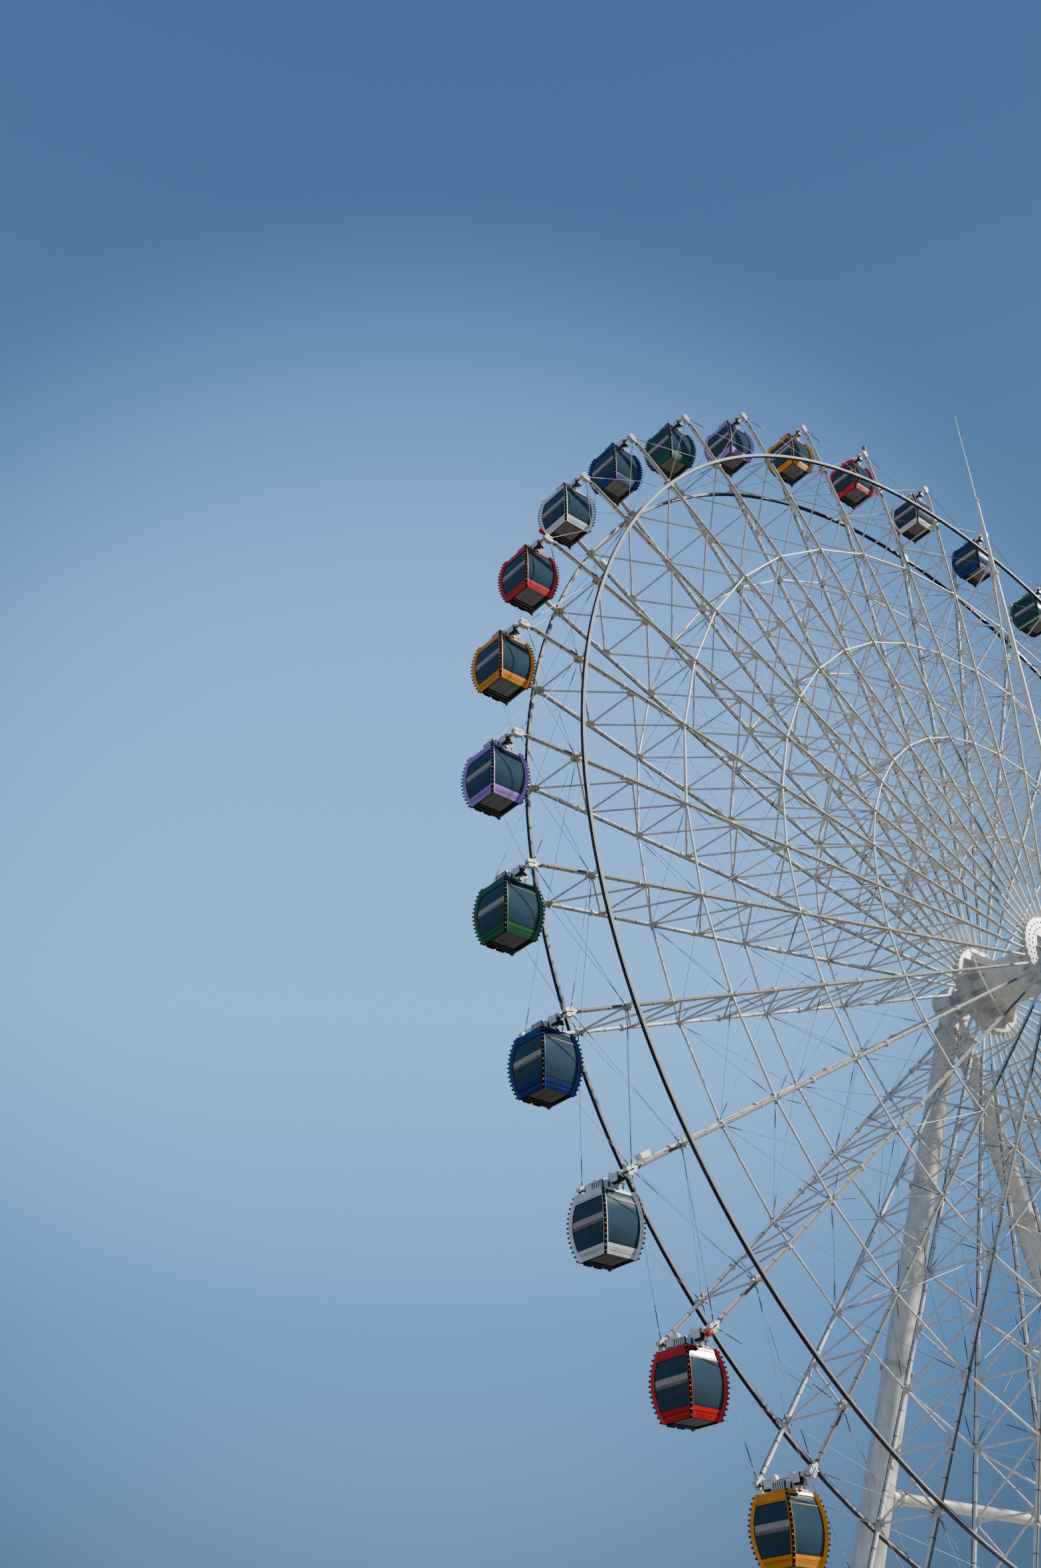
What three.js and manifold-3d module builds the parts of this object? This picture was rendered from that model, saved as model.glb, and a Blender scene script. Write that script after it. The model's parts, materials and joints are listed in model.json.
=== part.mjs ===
// Ferris wheel with level cabins, as a 1:2 scale model.
// Millimetres, +Z up. The origin is on the ground under the hub.
// The axle lies along Y, and the front of the wheel faces -Y.

import * as THREE from "three";
import { mergeVertices } from "three/addons/utils/BufferGeometryUtils.js";
import Module from "manifold-3d";

const wasm = await Module();
wasm.setup();

// Driving sizes of the wheel
const RIM_RADIUS = 14000;
const HUB_HEIGHT = 17430;
const SPOKES = 36;
const SECTORS = 6;
const SPOKES_PER_SECTOR = SPOKES / SECTORS;
const SPOKE_STEP = (2 * Math.PI) / SPOKES;
const FIRST_SPOKE_ANGLE = THREE.MathUtils.degToRad(200.49);
const PIVOT_RADIUS = 1.1 * RIM_RADIUS;
const SEAT_GAP = 0.3;

// Spoke trusses: two chords that spread towards the hub
const CHORD_WIDTH = 70;
const SPREAD_AT_RING = 0.0495 * RIM_RADIUS;
const SPREAD_SLOPE = 0.0256;
const RING_RADIUS = 0.8068 * RIM_RADIUS;
const BAY = 0.0965 * RIM_RADIUS;
const STRUT_WIDTH = 40;
const STRUT_NODES = [1, 3, 5, 7];
const RING_NODES = [3, 5, 7];
const RING_WIDTH = 46;

// Blocks at the spoke tips, which hold the cabin shafts
const TIP_LENGTH = 200;
const TIP_WIDTH = 140;
const TIP_FACE = 518;
const TIP_INSET = 5;

// Rims on both sides
const RIM_SIDE = 825;
const RIM_AXIAL = 60;
const RIM_RADIAL = 62;
const RIM_SEGMENTS = 72;
const BRACKET_WIDTH = 50;

// Hub and axle
const FLANGE_APOTHEM = 1050;
const FLANGE_INNER = 850;
const FLANGE_OUTER = 1040;
const DRUM_APOTHEM = 560;
const HUB_END = 1240;
const BOSS_APOTHEM = 430;
const AXLE_APOTHEM = 300;
const HEAD_INNER = 1700;
const HEAD_OUTER = 2220;
const HEAD_APOTHEM = 450;
const HEAD_MIDDLE = (HEAD_INNER + HEAD_OUTER) / 2;

// Supports
const FOOT_X = 6500;
const FOOT_Y = 3300;
const LEG_RADIUS_TOP = 240;
const LEG_RADIUS_FOOT = 330;
const LEG_SIDES = 12;
const FOOT_SIDE = 1500;
const FOOT_PLATE = 60;
const FOOT_BLOCK_SIDE = 960;
const FOOT_BLOCK_TOP = 300;
const TIE_SHARE = 0.36;
const TIE_WIDTH = 260;

// Mast on the front bearing head
const MAST_TOP = 1.24 * RIM_RADIUS;
const MAST_COLLAR = 0.8 * RIM_RADIUS;
const MAST_UPPER_COLLAR = 0.992 * RIM_RADIUS;
const MAST_NEEDLE_STEP = 1.114 * RIM_RADIUS;

// Cabin levels below the pivot: height, half width, half depth
const CABIN_SILL = { z: -1278, x: 319, y: 312 };
const CABIN_SKIRT = { z: -1050, x: 398, y: 418 };
const CABIN_BELLY = { z: -727, x: 420, y: 448 };
const CABIN_HIGH_BELLY = { z: -420, x: 386, y: 412 };
const CABIN_ROOF_EDGE = { z: -204, x: 318, y: 320 };
const CABIN_ROOF = { z: -178, x: 262, y: 266 };
const CABIN_LEVELS = [
  CABIN_SILL,
  CABIN_SKIRT,
  CABIN_BELLY,
  CABIN_HIGH_BELLY,
  CABIN_ROOF_EDGE,
  CABIN_ROOF,
];

// Blocks on a cabin's roof: two hanger columns, their bearing boxes and the cooling box
const HANGER_COLUMN = { x: [-45, 45], y: [130, 256], z: [-190, 64] };
const BEARING_BOX = { x: [-66, 66], y: [250, 386], z: [-104, 44] };
const COOLING_BOX = { x: [-250, -100], y: [-250, 24], z: [-190, -84] };
const SHAFT_RADIUS = 32;
const SHAFT_SIDES = 6;

// Colours of the six cabins that repeat round the wheel
const CABIN_COLOURS = [0x1c3f94, 0x17703c, 0x8f7fc0, 0xd9951c, 0xb8232b, 0xc9ccce];

const WHITE_PAINT = { color: 0xe6e4dc, roughness: 0.45, metalness: 0.1 };
const DARK_PAINT = { color: 0x1b2130, roughness: 0.4, metalness: 0.2 };
const STEEL = { color: 0x9a9c9c, roughness: 0.4, metalness: 0.7 };

const wheel = new THREE.Group();
wheel.position.set(0, 0, HUB_HEIGHT);
const model = new THREE.Group();
model.add(wheel);

// Half the distance between the two chords at a radius
function spread(radius) {
  return SPREAD_AT_RING + (RING_RADIUS - radius) * SPREAD_SLOPE;
}

// Radius of a truss node: 1 is at the rim, 9 is next to the hub
function nodeRadius(index) {
  return RIM_RADIUS - (index - 1) * BAY;
}

function spokeAngle(index) {
  return FIRST_SPOKE_ANGLE - index * SPOKE_STEP;
}

// Point at a radius, an angle round the axle and a place along it
function onWheel(radius, angle, y) {
  return new THREE.Vector3(radius * Math.cos(angle), y, radius * Math.sin(angle));
}

function toSolid(geometry) {
  const plain = geometry.clone();
  plain.deleteAttribute("normal");
  plain.deleteAttribute("uv");
  const merged = mergeVertices(plain, 1e-3);
  return new wasm.Manifold(
    new wasm.Mesh({
      numProp: 3,
      vertProperties: new Float32Array(merged.attributes.position.array),
      triVerts: new Uint32Array(merged.index.array),
    }),
  );
}

function fromSolid(solid) {
  const mesh = solid.getMesh();
  const geometry = new THREE.BufferGeometry();
  geometry.setAttribute("position", new THREE.BufferAttribute(mesh.vertProperties, 3));
  geometry.setIndex(new THREE.BufferAttribute(mesh.triVerts, 1));
  return geometry;
}

function fuse(geometries) {
  let whole = toSolid(geometries[0]);
  for (const geometry of geometries.slice(1)) {
    whole = whole.add(toSolid(geometry));
  }
  return whole;
}

function addPiece(parent, name, geometry, finish) {
  geometry.computeVertexNormals();
  const mesh = new THREE.Mesh(geometry, new THREE.MeshStandardMaterial(finish));
  mesh.name = name;
  parent.add(mesh);
  return mesh;
}

// Straight bar between two points; its width lies across `side`
function bar(start, end, width, height, side) {
  const along = end.clone().sub(start);
  const length = along.length();
  along.normalize();
  const across = side.clone().addScaledVector(along, -side.dot(along)).normalize();
  const third = new THREE.Vector3().crossVectors(along, across);
  const place = new THREE.Matrix4().makeBasis(along, across, third);
  place.setPosition(start.clone().add(end).multiplyScalar(0.5));
  return new THREE.BoxGeometry(length, width, height).applyMatrix4(place);
}

// Round bar of few sides that may taper between two points
function roundBar(start, end, radiusStart, radiusEnd, sides) {
  const along = end.clone().sub(start);
  const bar = new THREE.CylinderGeometry(radiusEnd, radiusStart, along.length(), sides);
  const turn = new THREE.Quaternion().setFromUnitVectors(
    new THREE.Vector3(0, 1, 0),
    along.clone().normalize(),
  );
  bar.applyQuaternion(turn);
  const middle = start.clone().add(end).multiplyScalar(0.5);
  bar.translate(middle.x, middle.y, middle.z);
  return bar;
}

// Ring about the axle, from a closed outline of [radius, y] points
function ringAboutAxle(outline, segments, startAngle) {
  const points = outline.map(([radius, y]) => new THREE.Vector2(radius, y));
  points.push(points[0].clone());
  const geometry = new THREE.LatheGeometry(points, segments);
  geometry.rotateY(Math.PI / 2 - startAngle);
  return geometry;
}

// A flat-sided disc whose flats face the spokes
function cornerRadius(apothem, segments) {
  return apothem / Math.cos(Math.PI / segments);
}

// Chord of a spoke, from the hub flange to the tip
function chord(angle, side, width) {
  const innerEnd = FLANGE_APOTHEM + SEAT_GAP + (CHORD_WIDTH / 2) * SPREAD_SLOPE;
  const outerEnd = PIVOT_RADIUS + TIP_LENGTH / 2;
  const inner = onWheel(innerEnd, angle, side * spread(innerEnd));
  const outer = onWheel(outerEnd, angle, side * spread(outerEnd));
  return bar(inner, outer, width, width, new THREE.Vector3(0, 1, 0));
}

function spokeParts(index) {
  const angle = spokeAngle(index);
  const parts = [];
  for (const side of [-1, 1]) {
    parts.push(chord(angle, side, CHORD_WIDTH));
    parts.push(tipBlock(angle, side));
  }
  for (const node of STRUT_NODES) {
    const radius = nodeRadius(node);
    const near = onWheel(radius, angle, -spread(radius));
    const far = onWheel(radius, angle, spread(radius));
    parts.push(bar(near, far, STRUT_WIDTH, STRUT_WIDTH, onWheel(1, angle, 0)));
  }
  return parts;
}

function tipBlock(angle, side) {
  const outerFace = spread(PIVOT_RADIUS) + CHORD_WIDTH / 2 - TIP_INSET;
  const start = onWheel(PIVOT_RADIUS, angle, side * TIP_FACE);
  const end = onWheel(PIVOT_RADIUS, angle, side * outerFace);
  return bar(start, end, TIP_LENGTH, TIP_WIDTH, onWheel(1, angle, 0));
}

// Arm of a rim that reaches in to a spoke's chord
function rimBracket(angle, side) {
  const start = onWheel(RIM_RADIUS, angle, side * spread(RIM_RADIUS));
  const end = onWheel(RIM_RADIUS, angle, side * RIM_SIDE);
  return bar(start, end, BRACKET_WIDTH, BRACKET_WIDTH, onWheel(1, angle, 0));
}

// Straight tube of a ring, from one spoke to the next
function ringTube(index, node, side, reachesNext) {
  const radius = nodeRadius(node);
  const start = onWheel(radius, spokeAngle(index), side * spread(radius));
  const next = onWheel(radius, spokeAngle(index + 1), side * spread(radius));
  const way = next.clone().sub(start).normalize();
  const shorter = CHORD_WIDTH / 2 / Math.cos(SPOKE_STEP / 2) + RING_WIDTH / 10 + SEAT_GAP;
  const end = reachesNext ? next : next.addScaledVector(way, -shorter);
  return bar(start, end, RING_WIDTH, RING_WIDTH, new THREE.Vector3(0, 1, 0));
}

function addSector(sector) {
  const parts = [];
  for (let step = 0; step < SPOKES_PER_SECTOR; step += 1) {
    const index = sector * SPOKES_PER_SECTOR + step;
    const reachesNext = step < SPOKES_PER_SECTOR - 1;
    parts.push(...spokeParts(index));
    for (const node of RING_NODES) {
      parts.push(ringTube(index, node, -1, reachesNext));
      parts.push(ringTube(index, node, 1, reachesNext));
    }
  }
  addPiece(wheel, `wheel_sector_${sector + 1}`, fromSolid(fuse(parts)), WHITE_PAINT);
}

function addRim(name, side) {
  const outline = [
    [RIM_RADIUS - RIM_RADIAL / 2, side * RIM_SIDE - RIM_AXIAL / 2],
    [RIM_RADIUS + RIM_RADIAL / 2, side * RIM_SIDE - RIM_AXIAL / 2],
    [RIM_RADIUS + RIM_RADIAL / 2, side * RIM_SIDE + RIM_AXIAL / 2],
    [RIM_RADIUS - RIM_RADIAL / 2, side * RIM_SIDE + RIM_AXIAL / 2],
  ];
  const parts = [ringAboutAxle(outline, RIM_SEGMENTS, FIRST_SPOKE_ANGLE)];
  for (let index = 0; index < SPOKES; index += 1) {
    parts.push(rimBracket(spokeAngle(index), side));
  }
  let rim = fuse(parts);
  for (let index = 0; index < SPOKES; index += 1) {
    rim = rim.subtract(toSolid(chord(spokeAngle(index), side, CHORD_WIDTH + 2 * SEAT_GAP)));
  }
  addPiece(wheel, name, fromSolid(rim), DARK_PAINT);
}

function addHub() {
  const flange = cornerRadius(FLANGE_APOTHEM, SPOKES);
  const drum = cornerRadius(DRUM_APOTHEM, SPOKES);
  const boss = cornerRadius(BOSS_APOTHEM, SPOKES);
  const bore = cornerRadius(AXLE_APOTHEM + SEAT_GAP, SPOKES);
  const outline = [
    [bore, -HUB_END],
    [boss, -HUB_END],
    [boss, -FLANGE_OUTER],
    [flange, -FLANGE_OUTER],
    [flange, -FLANGE_INNER],
    [drum, -FLANGE_INNER],
    [drum, FLANGE_INNER],
    [flange, FLANGE_INNER],
    [flange, FLANGE_OUTER],
    [boss, FLANGE_OUTER],
    [boss, HUB_END],
    [bore, HUB_END],
  ];
  const startAngle = FIRST_SPOKE_ANGLE + SPOKE_STEP / 2;
  const hub = fromSolid(toSolid(ringAboutAxle(outline, SPOKES, startAngle)));
  addPiece(wheel, "hub", hub, WHITE_PAINT);
}

function addAxle() {
  const radius = cornerRadius(AXLE_APOTHEM, SPOKES);
  const reach = HEAD_INNER - SEAT_GAP;
  const outline = [
    [0, -reach],
    [radius, -reach],
    [radius, reach],
    [0, reach],
  ];
  const startAngle = FIRST_SPOKE_ANGLE + SPOKE_STEP / 2;
  const axle = fromSolid(toSolid(ringAboutAxle(outline, SPOKES, startAngle)));
  addPiece(wheel, "axle", axle, STEEL);
}

function headGeometry(side) {
  const radius = cornerRadius(HEAD_APOTHEM, 8);
  const outline = [
    [0, side * HEAD_MIDDLE - (HEAD_OUTER - HEAD_INNER) / 2],
    [radius, side * HEAD_MIDDLE - (HEAD_OUTER - HEAD_INNER) / 2],
    [radius, side * HEAD_MIDDLE + (HEAD_OUTER - HEAD_INNER) / 2],
    [0, side * HEAD_MIDDLE + (HEAD_OUTER - HEAD_INNER) / 2],
  ];
  const head = ringAboutAxle(outline, 8, Math.PI / 8);
  head.translate(0, 0, HUB_HEIGHT);
  return head;
}

// Bearing head; `grow` widens it to cut the ends of the legs
function grownHead(side, grow) {
  const size = new THREE.Vector3();
  const head = headGeometry(side);
  head.computeBoundingBox();
  head.boundingBox.getSize(size);
  head.translate(0, -side * HEAD_MIDDLE, -HUB_HEIGHT);
  head.scale((size.x + 2 * grow) / size.x, (size.y + 2 * grow) / size.y, (size.z + 2 * grow) / size.z);
  head.translate(0, side * HEAD_MIDDLE, HUB_HEIGHT);
  return head;
}

function legEnds(left, side) {
  return {
    top: new THREE.Vector3(0, side * HEAD_MIDDLE, HUB_HEIGHT),
    foot: new THREE.Vector3(left * FOOT_X, side * FOOT_Y, 0),
  };
}

function footGeometry(left, side) {
  const plate = new THREE.BoxGeometry(FOOT_SIDE, FOOT_SIDE, FOOT_PLATE);
  plate.translate(left * FOOT_X, side * FOOT_Y, FOOT_PLATE / 2);
  const block = new THREE.BoxGeometry(FOOT_BLOCK_SIDE, FOOT_BLOCK_SIDE, FOOT_BLOCK_TOP);
  block.translate(left * FOOT_X, side * FOOT_Y, FOOT_BLOCK_TOP / 2);
  return fuse([plate, block]);
}

// Everything above a foot, so that a leg ends just over it
function aboveFoot() {
  const reach = 3 * FOOT_X;
  const space = new THREE.BoxGeometry(reach, reach, 2 * HUB_HEIGHT);
  space.translate(0, 0, HUB_HEIGHT + FOOT_BLOCK_TOP + SEAT_GAP);
  return toSolid(space);
}

// Half space on one side of the wheel's middle plane
function sideOfMiddle(left, gap) {
  const reach = 3 * FOOT_X;
  const space = new THREE.BoxGeometry(reach, reach, 3 * HUB_HEIGHT);
  space.translate(left * (reach / 2 + gap), 0, HUB_HEIGHT);
  return toSolid(space);
}

function legSolid(left, side) {
  const { top, foot } = legEnds(left, side);
  const way = foot.clone().sub(top).normalize();
  const below = foot.clone().addScaledVector(way, FOOT_BLOCK_TOP);
  const leg = toSolid(roundBar(top, below, LEG_RADIUS_TOP, LEG_RADIUS_FOOT, LEG_SIDES));
  const cut = leg.intersect(aboveFoot()).intersect(sideOfMiddle(left, SEAT_GAP));
  return cut.subtract(toSolid(grownHead(side, SEAT_GAP)));
}

function tieSolid(side) {
  const share = TIE_SHARE;
  const legTop = legEnds(1, side).top;
  const legFoot = legEnds(1, side).foot;
  const middle = legFoot.clone().lerp(legTop, share);
  const start = new THREE.Vector3(-middle.x, middle.y, middle.z);
  return toSolid(bar(start, middle, TIE_WIDTH, TIE_WIDTH, new THREE.Vector3(0, 1, 0)));
}

function addSupports() {
  const sides = [
    { side: -1, name: "front" },
    { side: 1, name: "rear" },
  ];
  const hands = [
    { left: -1, name: "left" },
    { left: 1, name: "right" },
  ];
  for (const { side, name } of sides) {
    const head = fromSolid(toSolid(headGeometry(side)));
    addPiece(model, `${name}_bearing_head`, head, WHITE_PAINT);
    let tie = tieSolid(side);
    for (const hand of hands) {
      const leg = legSolid(hand.left, side);
      tie = tie.subtract(toSolid(grownLeg(hand.left, side)));
      addPiece(model, `${name}_${hand.name}_leg`, fromSolid(leg), WHITE_PAINT);
      const foot = fromSolid(footGeometry(hand.left, side));
      addPiece(model, `${name}_${hand.name}_foot`, foot, STEEL);
    }
    const middlePart = tie.decompose().sort((a, b) => b.volume() - a.volume())[0];
    addPiece(model, `${name}_tie_beam`, fromSolid(middlePart), WHITE_PAINT);
  }
}

// Leg with a little more radius, to cut the tie beam to it
function grownLeg(left, side) {
  const { top, foot } = legEnds(left, side);
  const grow = SEAT_GAP * 1.1;
  const way = foot.clone().sub(top).normalize();
  const below = foot.clone().addScaledVector(way, FOOT_BLOCK_TOP);
  return roundBar(top, below, LEG_RADIUS_TOP + grow, LEG_RADIUS_FOOT + grow, LEG_SIDES);
}

function addMast() {
  const seat = HEAD_APOTHEM + SEAT_GAP;
  const steps = [
    [seat, 190],
    [seat + 30, 190],
    [seat + 30, 66],
    [MAST_COLLAR - 40, 66],
    [MAST_COLLAR - 40, 92],
    [MAST_COLLAR + 40, 92],
    [MAST_COLLAR + 40, 46],
    [MAST_UPPER_COLLAR - 30, 46],
    [MAST_UPPER_COLLAR - 30, 66],
    [MAST_UPPER_COLLAR + 30, 66],
    [MAST_UPPER_COLLAR + 30, 20],
    [MAST_NEEDLE_STEP, 17],
    [MAST_NEEDLE_STEP, 11],
    [MAST_TOP, 7],
  ];
  const outline = [new THREE.Vector2(0, seat)];
  for (const [height, radius] of steps) {
    outline.push(new THREE.Vector2(radius, height));
  }
  outline.push(new THREE.Vector2(0, MAST_TOP));
  const mast = new THREE.LatheGeometry(outline, 10);
  mast.rotateX(Math.PI / 2);
  mast.translate(0, -HEAD_MIDDLE, HUB_HEIGHT);
  addPiece(model, "lightning_mast", fromSolid(toSolid(mast)), WHITE_PAINT);
}

// Closed housing through the levels, each a rectangle about the Z axis
function housingGeometry() {
  const positions = [];
  const indices = [];
  for (const { z, x, y } of CABIN_LEVELS) {
    positions.push(-x, -y, z, x, -y, z, x, y, z, -x, y, z);
  }
  for (let level = 0; level < CABIN_LEVELS.length - 1; level += 1) {
    for (let corner = 0; corner < 4; corner += 1) {
      const a = level * 4 + corner;
      const b = level * 4 + ((corner + 1) % 4);
      indices.push(a, b, b + 4, a, b + 4, a + 4);
    }
  }
  const top = (CABIN_LEVELS.length - 1) * 4;
  indices.push(0, 2, 1, 0, 3, 2);
  indices.push(top, top + 1, top + 2, top, top + 2, top + 3);
  const geometry = new THREE.BufferGeometry();
  geometry.setAttribute("position", new THREE.Float32BufferAttribute(positions, 3));
  geometry.setIndex(indices);
  return geometry;
}

// Block between low and high places; `side` -1 puts it on the other side of the XZ plane
function block({ x, y, z }, side = 1) {
  const geometry = new THREE.BoxGeometry(x[1] - x[0], y[1] - y[0], z[1] - z[0]);
  geometry.translate((x[0] + x[1]) / 2, (side * (y[0] + y[1])) / 2, (z[0] + z[1]) / 2);
  return geometry;
}

// One cabin with its roof blocks and shaft, about its own pivot
function cabinSolid() {
  const reach = TIP_FACE - SEAT_GAP;
  const shaft = new THREE.CylinderGeometry(SHAFT_RADIUS, SHAFT_RADIUS, 2 * reach, SHAFT_SIDES);
  const parts = [housingGeometry(), shaft, block(COOLING_BOX)];
  for (const side of [-1, 1]) {
    parts.push(block(HANGER_COLUMN, side));
    parts.push(block(BEARING_BOX, side));
  }
  return fuse(parts);
}

function addCabins() {
  const solid = cabinSolid();
  for (let index = 0; index < SPOKES; index += 1) {
    const finish = { color: CABIN_COLOURS[index % CABIN_COLOURS.length], roughness: 0.4, metalness: 0.1 };
    const name = `cabin_${String(index + 1).padStart(2, "0")}`;
    const cabin = addPiece(wheel, name, fromSolid(solid), finish);
    cabin.position.copy(onWheel(PIVOT_RADIUS, spokeAngle(index), 0));
  }
}

for (let sector = 0; sector < SECTORS; sector += 1) {
  addSector(sector);
}
addRim("front_rim", -1);
addRim("rear_rim", 1);
addHub();
addAxle();
addSupports();
addMast();
addCabins();

export default model;
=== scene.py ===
import json
from math import atan2, cos, pi, radians, sin

import bpy
from mathutils import Matrix, Vector


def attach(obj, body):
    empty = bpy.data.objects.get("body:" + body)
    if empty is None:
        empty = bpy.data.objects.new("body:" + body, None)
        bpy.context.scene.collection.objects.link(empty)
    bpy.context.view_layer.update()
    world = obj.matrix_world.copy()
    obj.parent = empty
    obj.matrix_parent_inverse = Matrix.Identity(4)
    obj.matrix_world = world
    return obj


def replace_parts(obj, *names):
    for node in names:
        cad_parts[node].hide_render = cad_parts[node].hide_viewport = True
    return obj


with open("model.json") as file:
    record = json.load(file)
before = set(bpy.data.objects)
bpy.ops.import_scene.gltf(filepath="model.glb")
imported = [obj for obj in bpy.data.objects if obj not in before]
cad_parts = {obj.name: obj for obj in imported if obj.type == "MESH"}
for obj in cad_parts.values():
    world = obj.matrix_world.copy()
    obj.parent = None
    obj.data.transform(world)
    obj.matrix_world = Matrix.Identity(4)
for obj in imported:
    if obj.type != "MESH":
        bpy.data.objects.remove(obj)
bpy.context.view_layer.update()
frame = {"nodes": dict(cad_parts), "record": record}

# Driving sizes of the wheel, in metres
joint_places = {j["name"]: Vector(j["pos_m"]) for j in frame["record"]["behaviour"]["joints"]}
HUB = joint_places["wheel_spin"]
FIRST_PIVOT = joint_places["cabin_01_swing"] - HUB
PIVOT_RADIUS = FIRST_PIVOT.length
FIRST_ANGLE = atan2(FIRST_PIVOT.z, FIRST_PIVOT.x)
RIM_RADIUS = 14.0
SPOKES = 36
SECTORS = 6
SPOKES_PER_SECTOR = SPOKES // SECTORS
SPOKE_STEP = 2 * pi / SPOKES
SPREAD_AT_RING = 0.0495 * RIM_RADIUS
SPREAD_SLOPE = 0.0256
RING_RADIUS = 0.8068 * RIM_RADIUS
BAY = 0.0965 * RIM_RADIUS
LAST_NODE = 9
NODES = range(1, LAST_NODE + 1)
RING_NODES = (3, 5, 7, LAST_NODE)
RIM_SIDE = 0.825
HUB_FLANGE = 1.05
SMOOTH_ANGLE = radians(35)

AXLE = Vector((0, 1, 0))
UP = Vector((0, 0, 1))
BOTH = (-1, 1)


# Mesh helper: gathers faces of many small forms in one mesh

def circle(centre, axis, radius, sides, shift=0.0):
    """Points round a unit axis; shift moves them on by that share of a step."""
    across = axis.orthogonal().normalized()
    third = axis.cross(across)
    angles = [2 * pi * (i + shift) / sides for i in range(sides)]
    return [centre + (across * cos(a) + third * sin(a)) * radius for a in angles]


class Shape:
    def __init__(self):
        self.verts = []
        self.faces = []
        self.slots = []

    def loops(self, rows, slot, caps=True):
        """Skin between rows of points. Each row is one closed outline.

        A list of slots has one for each edge of the outline, and the ends take its first.
        """
        start = len(self.verts)
        count = len(rows[0])
        last = start + (len(rows) - 1) * count
        kinds = slot if isinstance(slot, list) else [slot] * count
        for row in rows:
            self.verts.extend(row)
        for low in range(start, last, count):
            for i in range(count):
                j = (i + 1) % count
                self.faces.append((low + i, low + j, low + count + j, low + count + i))
            self.slots.extend(kinds)
        if caps:
            self.faces.append(tuple(start + i for i in reversed(range(count))))
            self.faces.append(tuple(last + i for i in range(count)))
            self.slots.extend(kinds[:1] * 2)

    def tube(self, start, end, radius, sides, slot, end_radius=None):
        start, end = Vector(start), Vector(end)
        along = (end - start).normalized()
        last = radius if end_radius is None else end_radius
        self.loops([circle(start, along, radius, sides), circle(end, along, last, sides)], slot)

    def pin(self, middle, half, radius, sides, slot):
        """Cylinder from its middle and half its length as a vector."""
        self.tube(middle - half, middle + half, radius, sides, slot)

    def stub(self, foot, reach, radius, sides, slot):
        """Cylinder from its foot and its length as a vector."""
        self.tube(foot, foot + reach, radius, sides, slot)

    def lathe(self, origin, axis, profile, sides, slot):
        """Solid of revolution from (place along the axis, radius) steps."""
        axis = axis.normalized()
        self.loops([circle(origin + axis * place, axis, radius, sides) for place, radius in profile], slot)

    def box(self, centre, half_a, half_b, half_c, slot):
        """Block from its centre and three half-edge vectors."""
        if half_a.cross(half_b).dot(half_c) < 0:
            half_a = -half_a
        rows = []
        for middle in (centre - half_c, centre + half_c):
            rows.append([
                middle - half_a - half_b, middle + half_a - half_b,
                middle + half_a + half_b, middle - half_a + half_b,
            ])
        self.loops(rows, slot)

    def block(self, low, high, slot):
        """Upright block from two opposite corners."""
        low, high = Vector(low), Vector(high)
        self.box((low + high) / 2, *Matrix.Diagonal((high - low) / 2), slot)

    def plate(self, outline, thickness, normal, slot):
        """Flat plate: an outline of points, thickened evenly along its normal."""
        offset = normal.normalized() * (thickness / 2)
        turn = Vector()
        for point, following in zip(outline, outline[1:] + outline[:1]):
            turn += point.cross(following)
        if turn.dot(offset) < 0:
            outline = outline[::-1]
        self.loops([[p - offset for p in outline], [p + offset for p in outline]], slot)

    def rib(self, base, out, up, corners, thickness, slot):
        """Plate whose corners are (out, up) from its base."""
        self.plate([base + out * a + up * b for a, b in corners], thickness, out.cross(up), slot)

    def mesh(self, name, finishes):
        data = bpy.data.meshes.new(name)
        data.from_pydata([tuple(v) for v in self.verts], [], self.faces)
        for finish in finishes:
            data.materials.append(finish)
        data.polygons.foreach_set("material_index", self.slots)
        data.polygons.foreach_set("use_smooth", [True] * len(self.faces))
        data.update()
        data.set_sharp_from_angle(angle=SMOOTH_ANGLE)
        data.validate()
        return data

    def piece(self, name, finishes, location=(0, 0, 0)):
        return place_mesh(name, self.mesh(name, finishes), location)


def place_mesh(name, data, location):
    piece = bpy.data.objects.new(name, data)
    bpy.context.scene.collection.objects.link(piece)
    piece.location = location
    bpy.context.view_layer.update()
    return piece


# Materials, all procedural

def fill(tree, node, sockets):
    """Sets constants on a node's sockets, and links those that are given an output."""
    for name, value in sockets.items():
        if isinstance(value, bpy.types.NodeSocket):
            tree.links.new(value, node.inputs[name])
        else:
            node.inputs[name].default_value = value


def add_node(tree, kind, sockets):
    node = tree.nodes.new("ShaderNode" + kind)
    fill(tree, node, sockets)
    return node


def set_tones(ramp, steps):
    """Colours along a ramp, each as (place, colour)."""
    while len(ramp.elements) < len(steps):
        ramp.elements.new(0.5)
    for element, (position, colour) in zip(ramp.elements, steps):
        element.position = position
        element.color = (*colour, 1)


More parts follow.
